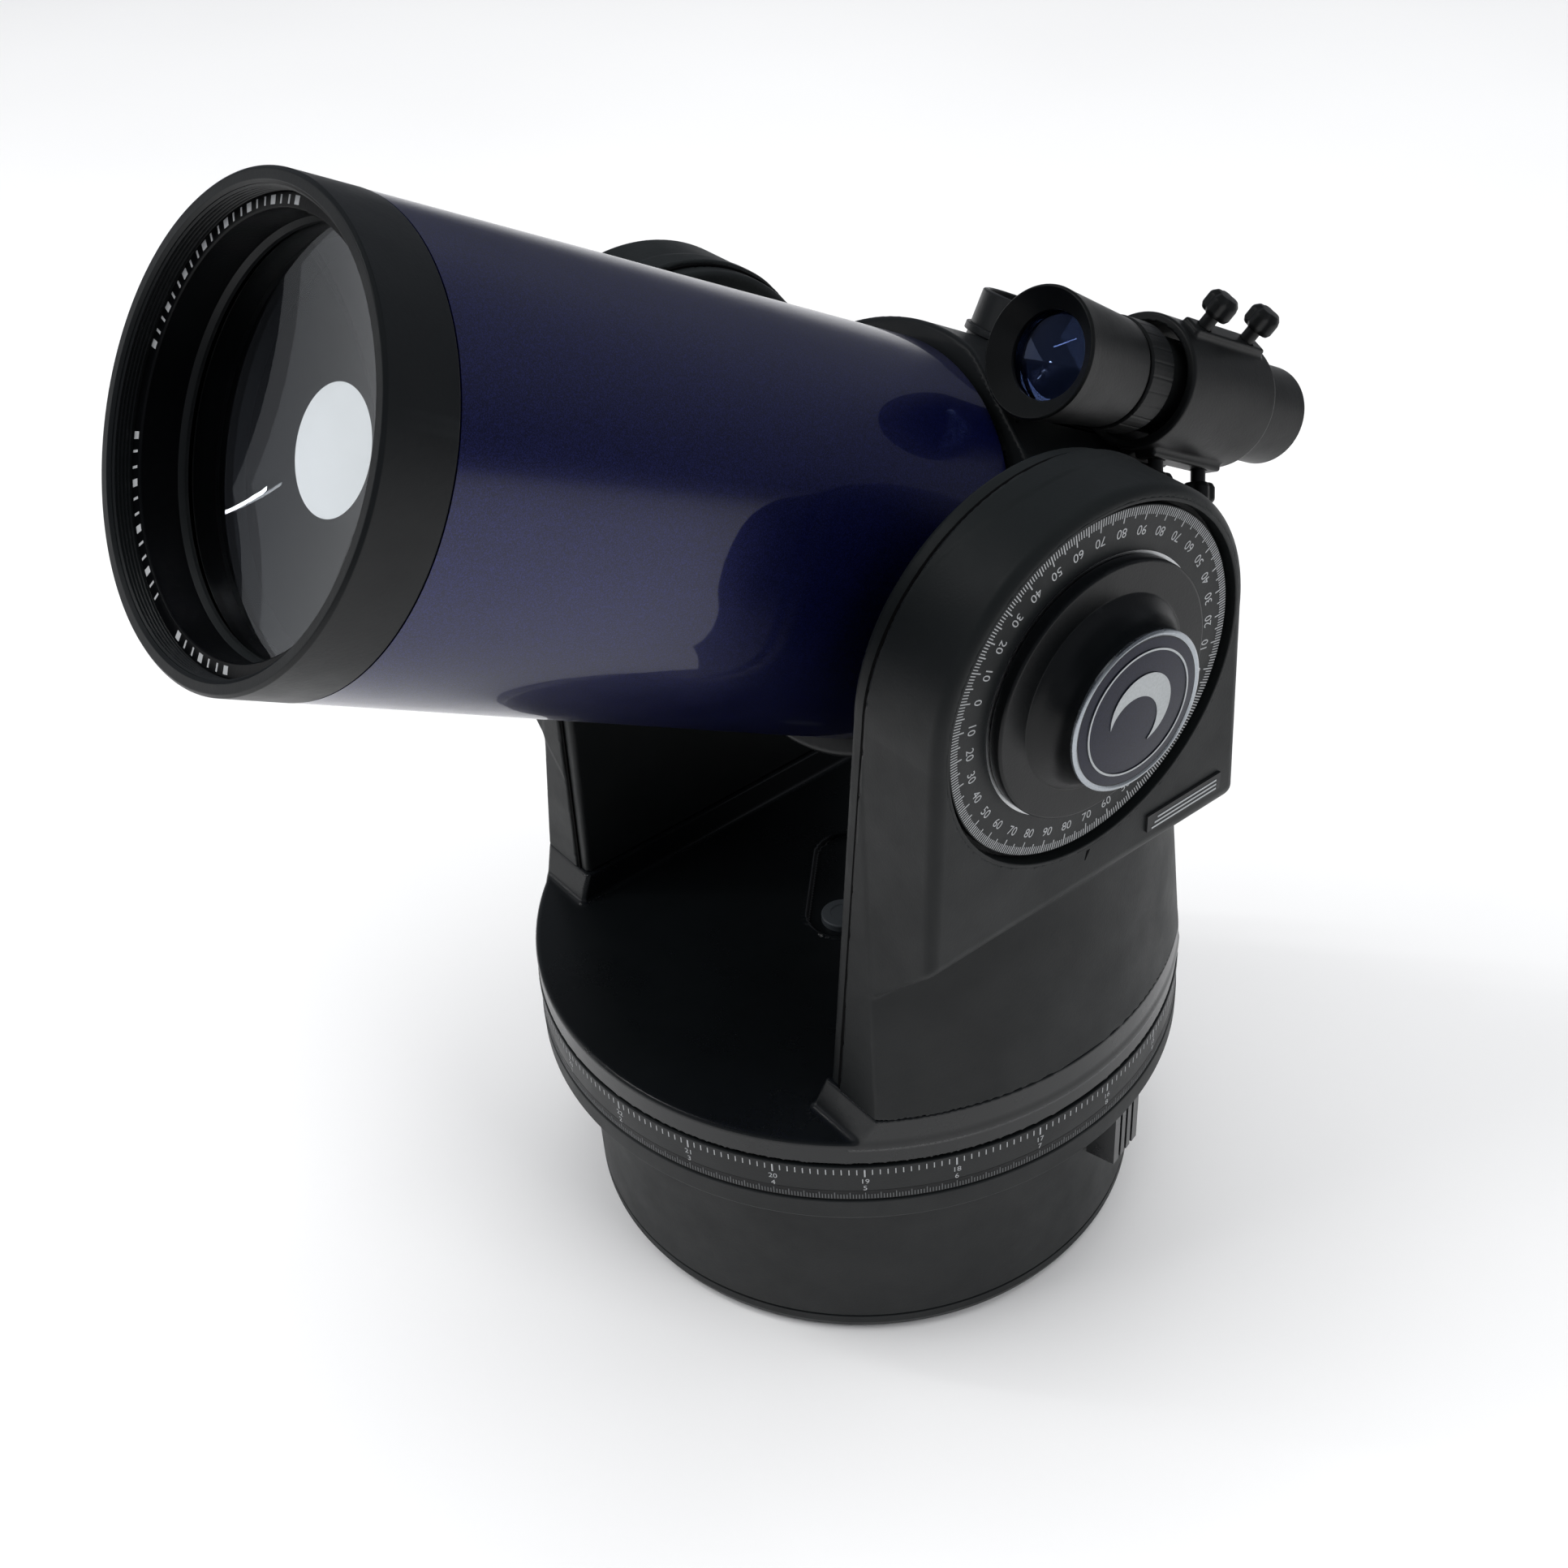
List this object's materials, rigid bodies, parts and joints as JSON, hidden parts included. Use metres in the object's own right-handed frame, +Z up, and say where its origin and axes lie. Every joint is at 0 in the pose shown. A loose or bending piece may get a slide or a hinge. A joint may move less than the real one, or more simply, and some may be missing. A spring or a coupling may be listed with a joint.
{
  "type": "maksutov telescope",
  "caption": "Small Maksutov-Cassegrain telescope with a blue tube on a motorised twin-arm fork mount, with setting circles and a straight-through finder.",
  "frame": {"origin": "centre of the foot circle, in the plane the feet stand on", "axes": "+Z up along the azimuth axis, +X along the altitude axis toward the numbered dial, the tube points toward -Y"},
  "size_m": [0.2072, 0.3022, 0.3518],
  "materials": {
    "base_plastic": "fine-grained moulded plastic",
    "deck_plastic": "satin moulded plastic",
    "fork_plastic": "fine-grained moulded plastic",
    "scale_plastic": "satin plastic with white ticks",
    "knob_plastic": "satin plastic",
    "panel_plastic": "black moulded plastic",
    "grey_plastic": "grey plastic",
    "nylon": "natural nylon",
    "cell_plastic": "black satin plastic",
    "finder_plastic": "black satin plastic",
    "cell_metal": "black anodised aluminium",
    "aluminium": "turned aluminium",
    "steel": "plated steel",
    "brass": "turned brass",
    "rubber": "moulded rubber",
    "lamp": "red lamp lens",
    "board": "solder mask",
    "silver_paint": "silver plate",
    "blue_paint": "deep metallic blue gloss",
    "badge": "clear-coated blue badge with a silver rim",
    "optical_glass": "coated lens",
    "coated_glass": "blue-coated lens",
    "mirror_coat": "aluminised mirror"
  },
  "bodies": {
    "base": {"base_drum": "base_plastic", "base_cover": "base_plastic", "rubber_feet": "rubber", "tripod_inserts": "brass", "battery_door": "base_plastic", "battery_tray": "base_plastic", "control_panel": "panel_plastic", "power_inlet": "panel_plastic", "signal_ports": "panel_plastic", "power_lamp": "lamp", "az_spindle": "steel", "az_motor": "steel", "circuit_board": "board"},
    "switch": {"power_switch": "panel_plastic"},
    "az_worm_body": {"az_worm": "brass"},
    "lock_lever": {"az_lock_lever": "panel_plastic"},
    "scale": {"az_scale_ring": "scale_plastic"},
    "fork": {"turntable": "deck_plastic", "az_worm_wheel": "nylon", "deck_plug": "grey_plastic", "arm_inner_right": "fork_plastic", "arm_inner_left": "fork_plastic", "arm_outer_right": "fork_plastic", "arm_outer_left": "fork_plastic", "arm_screws": "steel", "name_plate": "silver_paint", "alt_motor": "steel"},
    "alt_worm_body": {"alt_worm": "brass"},
    "tube": {"rear_cell": "cell_plastic", "optical_tube": "blue_paint", "front_cell": "cell_metal", "retaining_ring": "cell_metal", "meniscus": "optical_glass", "secondary_spot": "mirror_coat", "baffle_tube": "cell_metal", "trunnion_right": "aluminium", "trunnion_left": "aluminium", "alt_worm_wheel": "nylon", "left_disc": "fork_plastic", "port_ring": "aluminium", "eyepiece_holder": "aluminium", "finder_bracket": "finder_plastic", "finder_body": "finder_plastic", "finder_eye_lens": "coated_glass", "finder_screws": "finder_plastic"},
    "dial": {"dial_ring": "scale_plastic"},
    "knob": {"lock_knob": "knob_plastic", "knob_badge": "badge"},
    "mirror": {"primary_mirror": "mirror_coat", "mirror_carrier": "aluminium"},
    "focus": {"focus_knob": "knob_plastic"},
    "flip": {"flip_mirror": "mirror_coat"},
    "cap": {"port_cap": "cell_plastic"},
    "holder_thumbscrew": {"holder_screw": "steel"},
    "finder_front": {"finder_bell": "finder_plastic", "finder_lens": "coated_glass"},
    "finder_lock": {"finder_lock_ring": "finder_plastic"}
  },
  "joints": [
    {"name": "azimuth_turn", "type": "hinge", "parent": "base", "child": "fork", "pos_m": [0, 0, 0.09], "axis": [0, 0, 1], "range_deg": [-315, 315]},
    {"name": "altitude_turn", "type": "hinge", "parent": "fork", "child": "tube", "pos_m": [0, 0, 0.218], "axis": [-1, 0, 0], "range_deg": [-60, 59]},
    {"name": "scale_ring_slip", "type": "hinge", "parent": "base", "child": "scale", "pos_m": [0, 0, 0.076], "axis": [0, 0, 1], "continuous": true},
    {"name": "az_lock_swing", "type": "hinge", "parent": "base", "child": "lock_lever", "pos_m": [0, 0, 0.053], "axis": [0, 0, 1], "range_deg": [-7, 7]},
    {"name": "power_slide", "type": "slide", "parent": "base", "child": "switch", "axis": [0, 0, 1], "range_m": [-0.004, 0]},
    {"name": "az_worm_spin", "type": "hinge", "parent": "base", "child": "az_worm_body", "pos_m": [-0.053, 0, 0.076], "axis": [0, 1, 0], "range_deg": [-18900, 18900]},
    {"name": "alt_worm_spin", "type": "hinge", "parent": "fork", "child": "alt_worm_body", "pos_m": [0.075, 0, 0.1826], "axis": [0, 1, 0], "range_deg": [-3600, 3600]},
    {"name": "dial_slip", "type": "hinge", "parent": "tube", "child": "dial", "pos_m": [0.0894, 0, 0.218], "axis": [1, 0, 0], "continuous": true},
    {"name": "lock_knob_turn", "type": "hinge", "parent": "tube", "child": "knob", "pos_m": [0.095, 0, 0.218], "axis": [1, 0, 0], "range_deg": [0, 120]},
    {"name": "focus_turn", "type": "hinge", "parent": "tube", "child": "focus", "pos_m": [0.024, 0.07505, 0.2015], "axis": [0, -0.8607, 0.509], "range_deg": [-720, 720]},
    {"name": "mirror_slide", "type": "slide", "parent": "tube", "child": "mirror", "axis": [0, -0.8607, 0.509], "range_m": [-0.003, 0.003]},
    {"name": "flip_turn", "type": "hinge", "parent": "tube", "child": "flip", "pos_m": [0, 0.05791, 0.20002], "axis": [-1, 0, 0], "range_deg": [0, 45]},
    {"name": "port_cap_turn", "type": "hinge", "parent": "tube", "child": "cap", "pos_m": [0, 0.06025, 0.18237], "axis": [0, -0.8607, 0.509], "range_deg": [0, 720]},
    {"name": "holder_screw_turn", "type": "hinge", "parent": "tube", "child": "holder_thumbscrew", "pos_m": [0, 0.08999, 0.23855], "axis": [0, -0.8607, 0.509], "range_deg": [-360, 360]},
    {"name": "finder_focus_turn", "type": "hinge", "parent": "tube", "child": "finder_front", "pos_m": [0.0369, 0.04427, 0.26339], "axis": [0, -0.8607, 0.509], "range_deg": [-360, 360]},
    {"name": "finder_lock_turn", "type": "hinge", "parent": "tube", "child": "finder_lock", "pos_m": [0.0369, 0.06062, 0.25371], "axis": [0, -0.8607, 0.509], "range_deg": [0, 180]}
  ],
  "couplings": [
    {"joint": "az_worm_spin", "follows": "azimuth_turn", "ratio": 60},
    {"joint": "alt_worm_spin", "follows": "altitude_turn", "ratio": 60},
    {"joint": "focus_turn", "follows": "mirror_slide", "rad_per_m": 4188}
  ]
}
